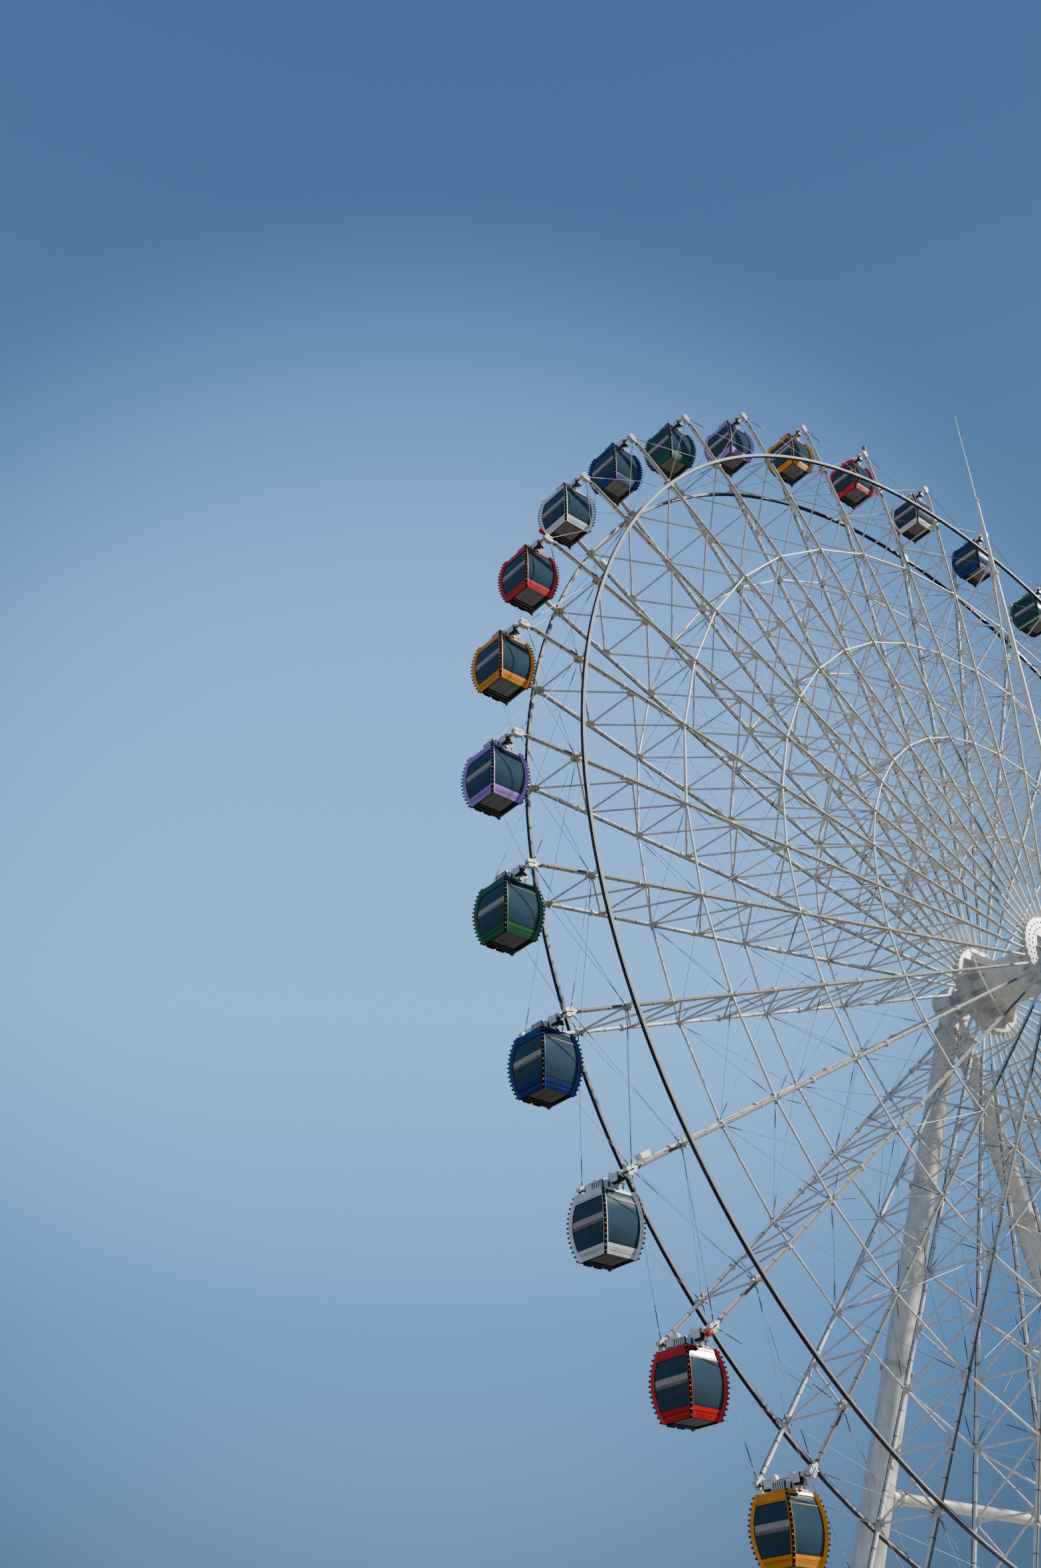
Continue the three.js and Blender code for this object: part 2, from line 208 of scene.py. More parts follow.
def material(name, colour, colour_low, roughness=0.45, metallic=0.0, coat=0.0,
             grain=6.0, bump=0.15, bump_grain=60.0, alpha=1.0, rough_swing=0.12, streaks=0.0, gloss=0.5):
    """Paint or glass with cloudy tones and a fine grain; streaks draws the clouds out along Z."""
    made = bpy.data.materials.new(name)
    made.use_nodes = True
    tree = made.node_tree
    place = add_node(tree, "TexCoord", {}).outputs["Object"]
    stretch = add_node(tree, "Mapping", {"Vector": place, "Scale": (1.0, 1.0, 0.25 if streaks else 1.0)})
    cloud = add_node(tree, "TexNoise", {
        "Vector": stretch.outputs["Vector"], "Scale": grain, "Detail": 6.0, "Roughness": 0.62,
    }).outputs["Fac"]
    tones = add_node(tree, "ValToRGB", {"Fac": cloud})
    set_tones(tones.color_ramp, ((0.34, colour_low), (0.58, colour)))
    rough = add_node(tree, "MapRange", {
        "Value": cloud, "To Min": max(0.02, roughness - rough_swing), "To Max": roughness + rough_swing,
    })
    fine = add_node(tree, "TexNoise", {"Vector": place, "Scale": bump_grain, "Detail": 4.0})
    lift = add_node(tree, "Bump", {"Height": fine.outputs["Fac"], "Strength": bump, "Distance": 0.004})
    fill(tree, tree.nodes["Principled BSDF"], {
        "Base Color": tones.outputs["Color"], "Roughness": rough.outputs["Result"],
        "Normal": lift.outputs["Normal"], "Metallic": metallic, "Alpha": alpha,
        "Coat Weight": coat, "Coat Roughness": 0.12, "Specular IOR Level": gloss,
    })
    return made


white_paint = material("white_paint", (0.7, 0.69, 0.65), (0.54, 0.53, 0.48), 0.5, bump=0.2, streaks=1)
bright_paint = material("bright_paint", (0.72, 0.72, 0.68), (0.6, 0.59, 0.54), 0.42, bump=0.15)
# Slightly darker, mauve copy of the white paint for struts and diagonals: partly their own grey tone,
# partly painted shade.
bracing_paint = material("bracing_paint", (0.62, 0.59, 0.59), (0.5, 0.47, 0.48), 0.55, bump=0.08, streaks=1)
# Darker, greyer copy of the white paint: painted shade for the gusset plates that face sideways out of the
# sun, also used on rim joints, saddles and ribs.
shaded_gusset_paint = material("shaded_gusset_paint", (0.58, 0.57, 0.51), (0.42, 0.41, 0.37), 0.6, grain=9, bump=0.3)
rim_dark = material("rim_dark", (0.008, 0.012, 0.026), (0.014, 0.018, 0.03), 0.5, coat=0.1, gloss=0.3)
rim_band = material("rim_band", (0.58, 0.58, 0.53), (0.49, 0.49, 0.44), 0.8, bump=0.1, gloss=0.1)
# Dark olive light strip, made darker than its lit colour so the sun-facing strip reads as shaded: partly
# its own olive colour, partly painted shade.
led_profile = material("led_profile", (0.16, 0.162, 0.128), (0.115, 0.118, 0.092), 0.65, gloss=0.15)
clip_dark = material("clip_dark", (0.035, 0.034, 0.034), (0.02, 0.02, 0.02), 0.5)
cable_steel = material(
    "cable_steel", (0.34, 0.34, 0.34), (0.24, 0.24, 0.25), 0.5, metallic=0.1, bump_grain=160)
turnbuckle_steel = material("turnbuckle_steel", (0.06, 0.06, 0.065), (0.03, 0.03, 0.03), 0.5, metallic=0.3)
machined_steel = material("machined_steel", (0.46, 0.46, 0.47), (0.34, 0.34, 0.35), 0.4, metallic=0.6)
galvanised = material("galvanised", (0.5, 0.51, 0.52), (0.38, 0.39, 0.4), 0.48, metallic=0.5, grain=14)
black_paint = material("black_paint", (0.014, 0.014, 0.016), (0.008, 0.008, 0.009), 0.45, gloss=0.3)
glass_tint = material("glass_tint", (0.038, 0.072, 0.098), (0.03, 0.058, 0.08), 0.08, gloss=0.3,
                      grain=2.0, bump=0.02, bump_grain=8.0, alpha=0.72, rough_swing=0.03)
glass_dark = material("glass_dark", (0.022, 0.042, 0.058), (0.016, 0.032, 0.044), 0.1, gloss=0.3,
                      grain=2.0, bump=0.02, bump_grain=8.0, rough_swing=0.03)
underside_grey = material(
    "underside_grey", (0.205, 0.178, 0.17), (0.15, 0.13, 0.124), 0.6, grain=5, bump=0.35)
underside_dark = material("underside_dark", (0.024, 0.025, 0.029), (0.016, 0.017, 0.02), 0.65, gloss=0.12)
copper_and_lit_edge = material("copper_and_lit_edge", (0.15, 0.085, 0.055), (0.11, 0.06, 0.04), 0.45, gloss=0.3)
box_grey = material("box_grey", (0.74, 0.75, 0.76), (0.6, 0.61, 0.62), 0.5, grain=8, bump=0.2)
seat_grey = material("seat_grey", (0.44, 0.39, 0.33), (0.36, 0.32, 0.27), 0.5, bump=0.25)
seat_dark = material("seat_dark", (0.05, 0.054, 0.06), (0.034, 0.036, 0.042), 0.6)
red_lens = material("red_lens", (0.55, 0.008, 0.02), (0.45, 0.005, 0.015), 0.2, coat=0.6)
BULB_COLOURS = {
    "yellow": (0.85, 0.55, 0.03),
    "red": (0.62, 0.02, 0.03),
    "green": (0.02, 0.36, 0.16),
    "blue": (0.02, 0.12, 0.52),
}
bulb_lenses = [
    material("bulb_" + name, colour, tuple(c * 0.7 for c in colour), 0.18, coat=0.6)
    for name, colour in BULB_COLOURS.items()
]
CABIN_COLOURS = {
    "blue": (0.005, 0.02, 0.165),
    "green": (0.01, 0.118, 0.036),
    "lilac": (0.42, 0.25, 0.66),
    "orange": (0.86, 0.3, 0.002),
    "red": (0.64, 0.008, 0.012),
    "white": (0.76, 0.76, 0.74),
}
cabin_paints = {
    name: material("cabin_paint_" + name, colour, tuple(c * 0.84 for c in colour), 0.34, coat=0.15,
                   grain=3, bump=0.06, gloss=0.3)
    for name, colour in CABIN_COLOURS.items()
}


# Places on the wheel, about the hub

def spread(radius):
    return SPREAD_AT_RING + (RING_RADIUS - radius) * SPREAD_SLOPE


def node_radius(index):
    return RIM_RADIUS - (index - 1) * BAY


def spoke_angle(index):
    return FIRST_ANGLE - index * SPOKE_STEP


def outward(angle):
    return Vector((cos(angle), 0, sin(angle)))


def tangent(angle):
    return Vector((sin(angle), 0, -cos(angle)))


def on_wheel(radius, angle, y):
    return outward(angle) * radius + AXLE * y


def on_chord(radius, index, side, off=0.0):
    return on_wheel(radius, spoke_angle(index), side * (spread(radius) + off))


def spoke_ways(index):
    """Unit vectors out along a spoke and round the wheel."""
    angle = spoke_angle(index)
    return outward(angle), tangent(angle)


# Spoke trusses

CHORD = 0.035
STRUT = 0.02
DIAGONAL = 0.021
RING_TUBE = 0.0235
INNER_RING_TUBE = 0.016
CLIP_PITCH = 0.542
FLANGE_RADII = [share * RIM_RADIUS for share in (0.921, 0.722, 0.535, 0.33)]
BOX_SPOKE = 5
LAMP_SPOKE = 4
WHITE, BRIGHT, GUSSET, LED, CLIP, CABLE, BUCKLE, BLACK, STEEL, LENS, BRACE = range(11)
TRUSS_MATERIALS = [
    white_paint, bright_paint, shaded_gusset_paint, led_profile, clip_dark,
    cable_steel, turnbuckle_steel, black_paint, machined_steel, red_lens, bracing_paint,
]


def bolt_ring(shape, centre, axis, radius, count, size, height, slot):
    for middle in circle(centre, axis, radius, count, 0.5):
        shape.pin(middle, axis * (height / 2), size, 5, slot)


def chord_flange(shape, radius, index, side):
    """Bolted pair of flanges where two lengths of chord meet."""
    gap, thick = 0.003, 0.014
    middle = on_chord(radius, index, side)
    way = (on_chord(radius + 0.1, index, side) - middle).normalized()
    for hand in BOTH:
        near = middle + way * (hand * gap)
        neck = near + way * (hand * thick)
        shape.tube(near, neck, 0.063, 12, BRIGHT)
        shape.tube(neck, neck + way * (hand * 0.05), 0.046, 10, WHITE, end_radius=0.036)
    bolt_ring(shape, middle, way, 0.053, 6, 0.008, 0.062, STEEL)


def led_strip(shape, index, side):
    """Light strip outboard of a chord, with the dark clips that hold it."""
    start, end = 0.14 * RIM_RADIUS, PIVOT_RADIUS - 0.26
    offset = CHORD + 0.012
    low = on_chord(start, index, side, offset)
    high = on_chord(end, index, side, offset)
    along = (high - low) / 2
    across = tangent(spoke_angle(index)) * 0.02
    shape.box((low + high) / 2, along, across, AXLE * 0.007, LED)
    way = along.normalized()
    for step in range(int((end - start) / CLIP_PITCH)):
        radius = end - 0.25 * CLIP_PITCH - step * CLIP_PITCH
        shape.pin(on_chord(radius, index, side), way * 0.007, CHORD + 0.005, 8, CLIP)
        outer = on_chord(radius, index, side, offset)
        shape.box(outer, way * 0.01, across * 1.12, AXLE * 0.01, CLIP)


def gusset(shape, radius, index, side):
    """Plate in the plane of the truss, where the bracing meets a chord."""
    length, depth = 0.12, 0.125
    outline = ((-length, 0.0), (-length * 0.45, depth), (length * 0.45, depth), (length, 0.0))
    points = [on_chord(radius + along, index, side, -inward) for along, inward in outline]
    shape.plate(points, 0.012, tangent(spoke_angle(index)), GUSSET)


def spoke_truss(shape, index):
    tip = PIVOT_RADIUS - 0.11
    for side in BOTH:
        foot = on_chord(HUB_FLANGE + 0.003, index, side)
        shape.tube(foot, on_chord(tip, index, side), CHORD, 12, WHITE)
        led_strip(shape, index, side)
        for radius in FLANGE_RADII:
            chord_flange(shape, radius, index, side)
        shape.stub(foot, outward(spoke_angle(index)) * 0.022, 0.078, 14, WHITE)
    for node in NODES:
        radius = node_radius(node)
        for side in BOTH:
            gusset(shape, radius, index, side)
        shape.tube(on_chord(radius, index, -1), on_chord(radius, index, 1), STRUT, 8, BRACE)
        if node < LAST_NODE:
            following = node_radius(node + 1)
            for side in BOTH:
                start, end = on_chord(radius, index, side), on_chord(following, index, -side)
                shape.tube(start, end, DIAGONAL, 8, BRACE)
    for side in BOTH:
        rim_joint(shape, index, side)


def rim_joint(shape, index, side):
    """Bulky welded box round a chord at the rim, with pads, lugs and nuts."""
    away, around = spoke_ways(index)
    centre = on_chord(RIM_RADIUS, index, side)
    shape.box(centre, away * 0.085, around * 0.046, AXLE * 0.062, GUSSET)
    shape.box(centre, away * 0.1, around * 0.03, AXLE * 0.05, GUSSET)
    for a in BOTH:
        collar = on_chord(RIM_RADIUS + a * 0.105, index, side)
        shape.pin(collar, away * 0.01, 0.046, 10, BRIGHT)
        for b in BOTH:
            lug = centre + away * (a * 0.055) + around * (b * 0.058)
            shape.box(lug, away * 0.02, around * 0.013, AXLE * 0.03, BRIGHT if a * b > 0 else GUSSET)
            shape.stub(lug + around * (b * 0.01), around * (b * 0.018), 0.011, 6, STEEL)
            for y in (-0.066, 0.066):
                bolt = centre + away * (a * 0.062) + around * (b * 0.026) + AXLE * y
                shape.pin(bolt, AXLE * 0.01, 0.009, 6, STEEL)


TIP_INNER = 0.518
TIP_GAP = 0.013
TIP_HALF = 0.072
TIP_NECK = 0.12
TIP_OUTLINE = (
    (0.044, TIP_GAP), (0.044, TIP_HALF - 0.018), (0.03, TIP_HALF), (-0.09, TIP_HALF),
    (-TIP_NECK, TIP_HALF - 0.028), (-TIP_NECK - 0.04, TIP_GAP + 0.022), (-TIP_NECK - 0.04, TIP_GAP),
)
STAY_LUG = Vector((-0.098, 0, 0.058))


def tip_block(shape, index, side):
    """Two clamp halves at a spoke tip; the cabin's shaft enters between them."""
    away, around = spoke_ways(index)
    outer_face = spread(PIVOT_RADIUS) + 0.034

    def at(a, b, y):
        return away * PIVOT_RADIUS + away * a + around * b + AXLE * (side * y)

    for hand in BOTH:
        low = [at(a, hand * b, TIP_INNER) for a, b in TIP_OUTLINE]
        high = [at(a, hand * b, outer_face) for a, b in TIP_OUTLINE]
        shape.loops([high, low] if hand * side > 0 else [low, high], BRIGHT)
        for a in (-0.055, 0.008):
            # Dark plates drawn in place of the slots: painted shade of the openings.
            slot = at(a, hand * 0.042, outer_face + 0.001)
            shape.box(slot, away * 0.02, around * 0.006, AXLE * 0.002, CLIP)
            nut = at(a + 0.004, hand * 0.042, outer_face + 0.003)
            shape.pin(nut, AXLE * 0.004, 0.0075, 6, STEEL)
        for a in (-0.075, 0.018):
            for y in (0.545, 0.6):
                bolt = at(a, hand * (TIP_HALF - 0.004), y)
                shape.stub(bolt, around * (hand * 0.016), 0.01, 6, STEEL)
        lug = at(STAY_LUG.x, hand * STAY_LUG.z, outer_face - 0.03)
        shape.pin(lug, AXLE * 0.04, 0.018, 10, BRIGHT)
    shape.tube(at(0, 0, TIP_INNER + 0.002), at(0, 0, outer_face - 0.012), 0.024, 14, BLACK)
    shape.box(at(-0.055, 0, 0.57), away * 0.06, around * 0.0135, AXLE * 0.03, BLACK)
    collar = on_chord(PIVOT_RADIUS - TIP_NECK - 0.11, index, side)
    shape.pin(collar, away * 0.014, 0.041, 12, CLIP)


def stay_anchor(index, side, hand):
    """Where a stay meets the lug of a spoke tip."""
    angle = spoke_angle(index)
    place = on_wheel(PIVOT_RADIUS + STAY_LUG.x, angle, side * (spread(PIVOT_RADIUS) + 0.018))
    return place + tangent(angle) * (hand * STAY_LUG.z)


def ring_clamp(shape, node, index, side):
    """Clevis block where the ring tubes meet a chord."""
    away, around = spoke_ways(index)
    middle = on_chord(node_radius(node), index, side)
    shape.pin(middle, away * 0.062, 0.049, 12, BRIGHT)
    shape.box(middle, away * 0.012, around * 0.105, AXLE * 0.034, BRIGHT)
    for b in BOTH:
        shape.pin(middle + around * (b * 0.082), away * 0.04, 0.012, 6, STEEL)


def ring_tubes(shape, index):
    """Tubes to the next spoke; the innermost are thinner and have no clamps."""
    for node in RING_NODES:
        trim, size = (0.045, RING_TUBE) if node < LAST_NODE else (0.03, INNER_RING_TUBE)
        for side in BOTH:
            start, end = (on_chord(node_radius(node), spoke, side) for spoke in (index, index + 1))
            way = (end - start).normalized()
            shape.tube(start + way * trim, end - way * trim, size, 10, WHITE)


TIP_STAY = 0.0056
CROSS_STAY = 0.0048


def cable(shape, start, end, radius, buckle_at):
    """Taut stay with eyes at both ends and a turnbuckle near its start."""
    way = (end - start).normalized()
    shape.tube(start + way * 0.03, end - way * 0.03, radius, 5, CABLE)
    for point, sign in ((start, 1), (end, -1)):
        shape.tube(point + way * (sign * 0.01), point + way * (sign * 0.11), radius * 1.8, 6, BUCKLE)
    middle = start + way * buckle_at
    shape.pin(middle, way * 0.11, 0.0092, 6, BUCKLE)
    for sign in BOTH:
        shape.pin(middle + way * (sign * 0.15), way * 0.03, 0.0076, 6, BUCKLE)


def stays(shape, index):
    """Stays from one spoke to the next."""
    for near, far, hand in ((index, index + 1, 1), (index + 1, index, -1)):
        for side in BOTH:
            tip = stay_anchor(near, side, hand)
            rim_node = on_chord(RIM_RADIUS + 0.055, far, side) - tangent(spoke_angle(far)) * (hand * 0.062)
            cable(shape, tip, rim_node, TIP_STAY, 0.35)
            for outer, inner in ((3, 5), (5, 7)):
                high = on_chord(node_radius(outer), near, side, 0.05)
                low = on_chord(node_radius(inner), far, side, 0.05)
                cable(shape, high, low, CROSS_STAY, 0.42)
        for node in (1, 3, 5, 7):
            front = on_chord(node_radius(node), near, -1)
            rear = on_chord(node_radius(node), far, 1)
            cable(shape, front, rear, CROSS_STAY, 0.4)


def electric_box(shape, index):
    """Switch box on the rear chord, just inside the first node."""
    away, around = spoke_ways(index)
    radius = 0.9725 * RIM_RADIUS
    centre = on_chord(radius, index, 1) + around * 0.09
    shape.box(centre, away * 0.125, around * 0.048, AXLE * 0.08, BRIGHT)
    shape.box(centre + around * 0.05, away * 0.131, around * 0.004, AXLE * 0.086, WHITE)
    shape.tube(centre - away * 0.125, on_chord(radius - 0.35, index, 1), 0.01, 6, CLIP)


def warning_lamp(shape, index):
    """Red lamp on a front spoke tip."""
    angle = spoke_angle(index)
    foot = on_wheel(PIVOT_RADIUS + 0.05, angle, -spread(PIVOT_RADIUS) - 0.03)
    shape.stub(foot, outward(angle) * 0.05, 0.03, 10, CLIP)
    profile = [(0.05, 0.045), (0.1, 0.052), (0.14, 0.04), (0.155, 0.012)]
    shape.lathe(foot, outward(angle), profile, 12, LENS)


def build_sectors():
    """One sector of spokes, turned six times about the axle."""
    shape = Shape()
    for index in range(SPOKES_PER_SECTOR):
        spoke_truss(shape, index)
        ring_tubes(shape, index)
        stays(shape, index)
        for side in BOTH:
            tip_block(shape, index, side)
            for node in RING_NODES[:-1]:
                ring_clamp(shape, node, index, side)
    electric_box(shape, BOX_SPOKE)
    warning_lamp(shape, LAMP_SPOKE)
    data = shape.mesh("sector_truss", TRUSS_MATERIALS)
    for sector in range(SECTORS):
        turn = sector * SPOKES_PER_SECTOR * SPOKE_STEP
        turned = data.copy()
        turned.transform(Matrix.Rotation(turn, 4, "Y"))
        piece = place_mesh("sector_truss_%d" % (sector + 1), turned, HUB)
        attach(piece, "wheel")
        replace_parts(piece, "wheel_sector_%d" % (sector + 1))


# Rims

RIM_DARK, RIM_PALE, RIM_JOINT, RIM_ARM, RIM_SADDLE = range(5)
RIM_MATERIALS = [rim_dark, rim_band, clip_dark, white_paint, shaded_gusset_paint]
RIM_STEPS = 180


def rim_bracket(shape, index, side):
    """Arm from the spoke out to the rim, with its saddle and two braces."""
    away, around = spoke_ways(index)
    start = away * RIM_RADIUS + AXLE * (side * (spread(RIM_RADIUS) + 0.064))
    end = away * RIM_RADIUS + AXLE * (side * (RIM_SIDE - 0.036))
    shape.box((start + end) / 2, away * 0.026, around * 0.024, (end - start) / 2, RIM_ARM)
    shape.box(end, away * 0.029, around * 0.07, AXLE * 0.0055, RIM_PALE)
    shape.box(start, away * 0.05, around * 0.042, AXLE * 0.006, RIM_SADDLE)
    for b in BOTH:
        shape.tube(start + around * (b * 0.03), end + around * (b * 0.06), 0.008, 6, RIM_ARM)


def build_rim(name, side, node):
    """Dark box section with a tilted pale band on each side."""
    shape = Shape()
    inner_edge, outer_edge = -0.052, 0.012
    half_axial = 0.037
    middle_y = side * (0.816 if side < 0 else 0.846)
    band_low, band_high = -0.032, -0.004
    skin_low, skin_high = 0.009, 0.002

    def ring(points, slot):
        rows = []
        for i in range(RIM_STEPS):
            angle = FIRST_ANGLE + 2 * pi * i / RIM_STEPS
            rows.append([on_wheel(RIM_RADIUS + r, angle, middle_y + y) for r, y in points])
        shape.loops(rows + rows[:1], slot, caps=False)

    ring([
        (inner_edge, -half_axial), (outer_edge, -half_axial),
        (outer_edge, half_axial), (inner_edge, half_axial),
    ], RIM_DARK)
    for face in BOTH:
        inner = face * (half_axial - 0.001)
        band = [
            (band_low, inner), (band_high, inner),
            (band_high, face * (half_axial + skin_high)), (band_low, face * (half_axial + skin_low)),
        ]
        kinds = [RIM_DARK, RIM_PALE, RIM_PALE, RIM_DARK]
        if face < 0:
            band.reverse()
            kinds = [RIM_PALE, RIM_PALE, RIM_DARK, RIM_DARK]
        ring(band, kinds)
    for index in range(SPOKES):
        joint = spoke_angle(index) + SPOKE_STEP / 2
        middle = on_wheel(RIM_RADIUS - 0.02, joint, middle_y)
        shape.box(middle, outward(joint) * 0.0345, tangent(joint) * 0.045, AXLE * 0.033, RIM_JOINT)
        rim_bracket(shape, index, side)
    piece = shape.piece(name, RIM_MATERIALS, HUB)
    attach(piece, "wheel")
    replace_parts(piece, node)


# Hub

COAT, RIB, ZINC = range(3)
FRAME_MATERIALS = [white_paint, shaded_gusset_paint, galvanised]
RIB_EVERY = 3


def build_hub():
    shape = Shape()
    profile = [
        (-1.24, 0.31), (-1.24, 0.43), (-1.04, 0.43), (-1.04, 1.00), (-1.025, 1.048), (-0.865, 1.048),
        (-0.85, 1.00), (-0.85, 0.56), (0.85, 0.56), (0.85, 1.00), (0.865, 1.048), (1.025, 1.048),
        (1.04, 1.00), (1.04, 0.43), (1.24, 0.43), (1.24, 0.31),
    ]
    shape.lathe(Vector(), AXLE, profile, 72, COAT)
    outer_rib = ((0.43, 1.04), (0.74, 1.04), (0.47, 1.2), (0.43, 1.2))
    inner_rib = ((0.56, 0.85), (0.98, 0.85), (0.56, 0.45))
    for side in BOTH:
        for index in range(SPOKES):
            angle = spoke_angle(index)
            for radius in (0.93, 0.8):
                foot = on_wheel(radius, angle + SPOKE_STEP / 2, side * 1.04)
                shape.stub(foot, AXLE * (side * 0.022), 0.022, 6, ZINC)
            if index % RIB_EVERY == 0:
                shape.rib(Vector(), outward(angle), AXLE * side, outer_rib, 0.022, RIB)
                shape.rib(Vector(), outward(angle), AXLE * side, inner_rib, 0.02, RIB)
        bolt_ring(shape, AXLE * (side * 1.245), AXLE, 0.37, 18, 0.018, 0.03, ZINC)
    piece = shape.piece("hub_drum", FRAME_MATERIALS, HUB)
    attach(piece, "wheel")
    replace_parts(piece, "hub")


# Supports

HEAD_MIDDLE = 1.96
FOOT_X = 6.5
FOOT_Y = 3.3
LEG_TOP = 0.24
LEG_FOOT = 0.33
FOOT_TOP = 0.3
TIE_SHARE = 0.36


def support_piece(shape, name):
    piece = shape.piece(name, FRAME_MATERIALS)
    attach(piece, "supports")
    return piece


def leg_line(hand, side):
    top = Vector((0, side * HEAD_MIDDLE, HUB.z))
    foot = Vector((hand * FOOT_X, side * FOOT_Y, 0))
    return top, foot


def build_leg(name, hand, side):
    """Tapered tube with bolted joints, each with ribs on both sides."""
    shape = Shape()
    top, foot = leg_line(hand, side)
    way = (foot - top).normalized()
    length = (foot - top).length

    def size(place):
        return LEG_TOP + (LEG_FOOT - LEG_TOP) * place / length

    start = 0.47
    end = (HUB.z - FOOT_TOP - 0.02) / -way.z
    shape.tube(top + way * start, top + way * end, size(start), 32, COAT, end_radius=size(end))
    for share in (0.02, 0.26, 0.5, 0.76, 0.985):
        place = start + (end - start) * share
        radius = size(place)
        for joint in BOTH:
            near = top + way * (place + joint * 0.004)
            shape.stub(near, way * (joint * 0.026), radius + 0.055, 32, COAT)
        bolt_ring(shape, top + way * place, way, radius + 0.03, 20, 0.013, 0.09, ZINC)
        for spoke in circle(Vector(), way, 1, 8):
            for joint in BOTH:
                base = top + way * (place + joint * 0.03)
                corners = ((radius - 0.01, 0), (radius + 0.045, 0), (radius - 0.01, joint * 0.15))
                shape.rib(base, spoke, way, corners, 0.012, RIB)
    return support_piece(shape, name)


def build_head(name, side):
    shape = Shape()
    centre = Vector((0, side * HEAD_MIDDLE, HUB.z))
    profile = [
        (-0.26, 0.33), (-0.26, 0.42), (-0.22, 0.445), (-0.16, 0.445), (-0.14, 0.4),
        (0.14, 0.4), (0.16, 0.445), (0.22, 0.445), (0.25, 0.4), (0.26, 0.2),
    ]
    shape.lathe(centre, AXLE * side, profile, 40, COAT)
    bolt_ring(shape, centre + AXLE * (side * 0.262), AXLE, 0.33, 16, 0.016, 0.035, ZINC)
    for i in range(8):
        angle = 2 * pi * (i + 0.5) / 8
        away = outward(angle)
        shape.box(centre + away * 0.415, away * 0.022, tangent(angle) * 0.012, AXLE * 0.15, RIB)
    for hand in BOTH:
        top, foot = leg_line(hand, side)
        way = (foot - top).normalized()
        shape.tube(top + way * 0.32, top + way * 0.47, 0.235, 24, COAT)
    return support_piece(shape, name)


def build_tie(name, side):
    shape = Shape()
    top, foot = leg_line(1, side)
    middle = foot.lerp(top, TIE_SHARE)
    radius = LEG_FOOT + (LEG_TOP - LEG_FOOT) * TIE_SHARE
    reach = middle.x - radius * 1.05
    middle.x = 0
    along = Vector((1, 0, 0))
    shape.pin(middle, along * reach, 0.115, 24, COAT)
    for hand in BOTH:
        for place in (reach - 0.3, reach - 0.02):
            near = middle + along * (hand * place)
            shape.stub(near, along * (hand * 0.022), 0.165, 24, COAT)
            bolt_ring(shape, near, along, 0.14, 12, 0.011, 0.07, ZINC)
    return support_piece(shape, name)


def build_foot_bolts(name, hand, side):
    """Nuts round the edge of the base plate, and ribs on the four sides of the foot."""
    shape = Shape()
    centre = Vector((hand * FOOT_X, side * FOOT_Y, 0))
    for i in range(-2, 3):
        for j in range(-2, 3):
            if max(abs(i), abs(j)) < 2:
                continue
            spot = centre + Vector((i * 0.31, j * 0.31, 0.06))
            for low, high, radius, sides in (
                (0, 0.012, 0.042, 12), (0.012, 0.045, 0.03, 6), (0.045, 0.085, 0.016, 8),
            ):
                shape.tube(spot + UP * low, spot + UP * high, radius, sides, ZINC)
    for way in (Vector((1, 0, 0)), Vector((-1, 0, 0)), Vector((0, 1, 0)), Vector((0, -1, 0))):
        for shift in (-0.24, 0.24):
            base = centre + UP.cross(way) * shift
            shape.rib(base, way, UP, ((0.481, 0.061), (0.6, 0.061), (0.481, 0.28)), 0.018, RIB)
    piece = shape.piece(name, FRAME_MATERIALS)
    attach(piece, "supports")


def build_mast():
    """Tapered tube with two collars, a thin top and a finer point."""
    shape = Shape()
    base = Vector((0, -HEAD_MIDDLE, HUB.z))
    collar, upper, step, top = (share * RIM_RADIUS for share in (0.8, 0.992, 1.114, 1.24))
    shape.lathe(base, UP, [(0.452, 0.19), (0.476, 0.19)], 24, COAT)
    shape.lathe(base, UP, [(0.476, 0.07), (collar, 0.06)], 20, COAT)
    for middle, half, wide in ((collar, 0.045, 0.092), (upper, 0.03, 0.062)):
        for way in (-UP, UP):
            profile = [(0.004, wide), (half - 0.008, wide), (half, wide * 0.7)]
            shape.lathe(base + UP * middle, way, profile, 20, COAT)
        bolt_ring(shape, base + UP * middle, UP, wide * 0.84, 8, 0.008, 2 * half + 0.02, ZINC)
    shape.lathe(base, UP, [(collar, 0.046), (upper, 0.044)], 18, COAT)
    shape.lathe(base, UP, [(upper, 0.018), (step, 0.016)], 12, COAT)
    shape.lathe(base, UP, [(step - 0.01, 0.021), (step + 0.02, 0.021)], 12, COAT)
    shape.lathe(base, UP, [(step, 0.01), (top - 0.06, 0.008), (top, 0.0015)], 10, COAT)
    for i in range(6):
        angle = 2 * pi * i / 6
        spoke = Vector((cos(angle), sin(angle), 0))
        shape.rib(base, spoke, UP, ((0.06, 0.476), (0.175, 0.476), (0.06, 0.72)), 0.012, RIB)
    bolt_ring(shape, base + UP * 0.485, UP, 0.155, 12, 0.012, 0.03, ZINC)
    for share in (0.25, 0.5, 0.75):
        shape.lathe(base + UP * (collar * share), UP, [(-0.01, 0.074), (0.01, 0.074)], 16, ZINC)
    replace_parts(support_piece(shape, "mast"), "lightning_mast")


